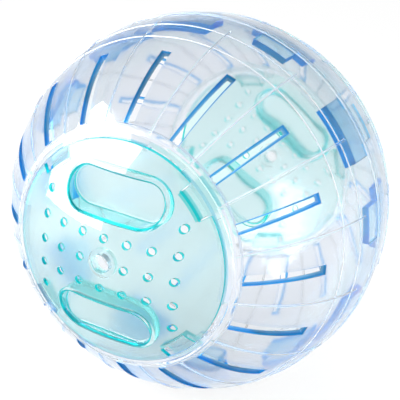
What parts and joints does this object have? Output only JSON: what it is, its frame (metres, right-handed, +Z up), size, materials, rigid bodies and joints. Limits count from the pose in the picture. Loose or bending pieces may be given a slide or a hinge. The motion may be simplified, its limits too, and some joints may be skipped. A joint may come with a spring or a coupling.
{
  "type": "hamster ball",
  "caption": "Clear plastic exercise ball for a hamster: ribbed and slotted half shells clipped at a seam, each with a domed twist-lock door with finger wells and vent holes.",
  "frame": {"origin": "centre of the ball", "axes": "-Y through the middle of the front door, +Y through the middle of the back door, +Z up through the front door's upper finger well"},
  "size_m": [0.1808, 0.1798, 0.1808],
  "materials": {
    "shell_plastic": "clear pale blue, polished",
    "door_plastic": "clear mint, polished"
  },
  "bodies": {
    "front_shell": {"front_half_shell": "shell_plastic"},
    "back_shell": {"back_half_shell": "shell_plastic"},
    "front_door": {"front_door": "door_plastic"},
    "back_door": {"back_door": "door_plastic"}
  },
  "joints": [
    {"name": "halves_part", "type": "slide", "parent": "front_shell", "child": "back_shell", "axis": [0, 1, 0], "range_m": [0, 0.04]},
    {"name": "front_door_twist", "type": "hinge", "parent": "front_shell", "child": "front_door", "pos_m": [0, -0.075, 0], "axis": [0, -1, 0], "range_deg": [0, 26]},
    {"name": "back_door_twist", "type": "hinge", "parent": "back_shell", "child": "back_door", "pos_m": [0, 0.075, 0], "axis": [0, 1, 0], "range_deg": [0, 26]}
  ]
}
